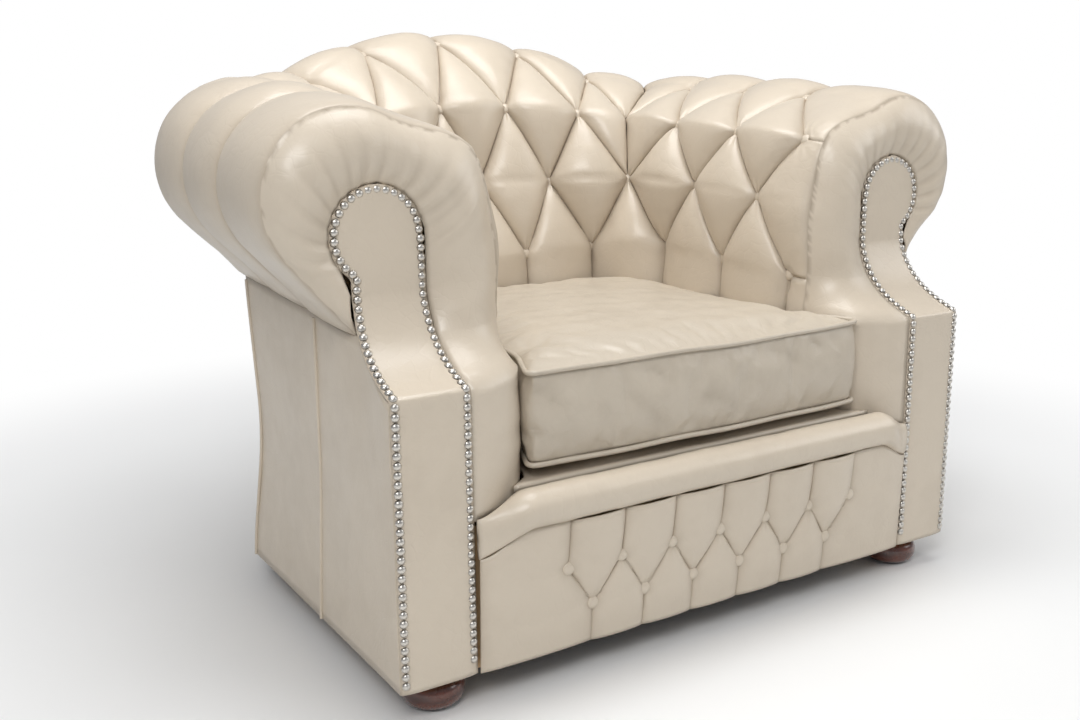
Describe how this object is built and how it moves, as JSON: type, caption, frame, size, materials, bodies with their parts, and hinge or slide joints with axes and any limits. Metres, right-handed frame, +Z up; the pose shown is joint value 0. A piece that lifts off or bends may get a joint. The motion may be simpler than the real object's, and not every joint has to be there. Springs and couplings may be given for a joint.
{
  "type": "upholstered armchair",
  "caption": "Chesterfield tub armchair with deep-buttoned rolled back and arms, nailed facings, buttoned front border, bun feet and a loose seat cushion that slides out.",
  "frame": {"origin": "on the floor under the middle of the chair's box", "axes": "+Z up, X across the chair, the front faces -Y"},
  "size_m": [1.1152, 0.928, 0.8154],
  "materials": {
    "leather": "semi-gloss cream hide",
    "cushion_leather": "worn cream hide",
    "zip": "woven tape",
    "foam": "open cell foam",
    "nails": "antique nickel",
    "lining": "woven black lining",
    "webbing": "elastic webbing",
    "steel": "zinc plated",
    "glide": "moulded",
    "foot_wood": "dark gloss stain",
    "frame_wood": "planed beech"
  },
  "bodies": {
    "chair": {"arm_board_left": "frame_wood", "arm_board_right": "frame_wood", "arm_buttons_left": "leather", "arm_buttons_right": "leather", "arm_facing_left": "leather", "arm_facing_right": "leather", "arm_foam_left": "foam", "arm_foam_right": "foam", "arm_formers_left": "frame_wood", "arm_formers_right": "frame_wood", "arm_stuffing_rail_left": "frame_wood", "arm_stuffing_rail_right": "frame_wood", "back_buttons": "leather", "back_crest_rail": "frame_wood", "back_foam": "foam", "back_stiles": "frame_wood", "back_stuffing_rail": "frame_wood", "border_buttons": "leather", "bottom_cloth": "lining", "bun_feet": "foot_wood", "corner_block_left": "frame_wood", "corner_block_right": "frame_wood", "facing_block_left": "frame_wood", "facing_block_right": "frame_wood", "facing_nails_left": "nails", "facing_nails_right": "nails", "foot_bolts": "steel", "foot_glides": "glide", "front_border": "leather", "front_lip": "leather", "front_seat_rail": "frame_wood", "inside_arm_cover_left": "leather", "inside_arm_cover_right": "leather", "inside_back_cover": "leather", "outside_arm_panel_left": "leather", "outside_arm_panel_right": "leather", "outside_back_panel": "leather", "outside_seam_piping": "leather", "platform_cloth": "lining", "platform_foam": "foam", "rear_post_left": "frame_wood", "rear_post_right": "frame_wood", "rear_seat_rail": "frame_wood", "rear_web_rail": "frame_wood", "seat_webbing": "webbing", "side_seat_rail_left": "frame_wood", "side_seat_rail_right": "frame_wood", "webbing_clips": "steel"},
    "cushion": {"cushion_case": "cushion_leather", "cushion_core": "foam", "cushion_lower_piping": "cushion_leather", "cushion_upper_piping": "cushion_leather", "cushion_zip": "zip"}
  },
  "joints": [
    {"name": "cushion_slide", "type": "slide", "parent": "chair", "child": "cushion", "axis": [0, -1, 0], "range_m": [0, 0.6]}
  ]
}
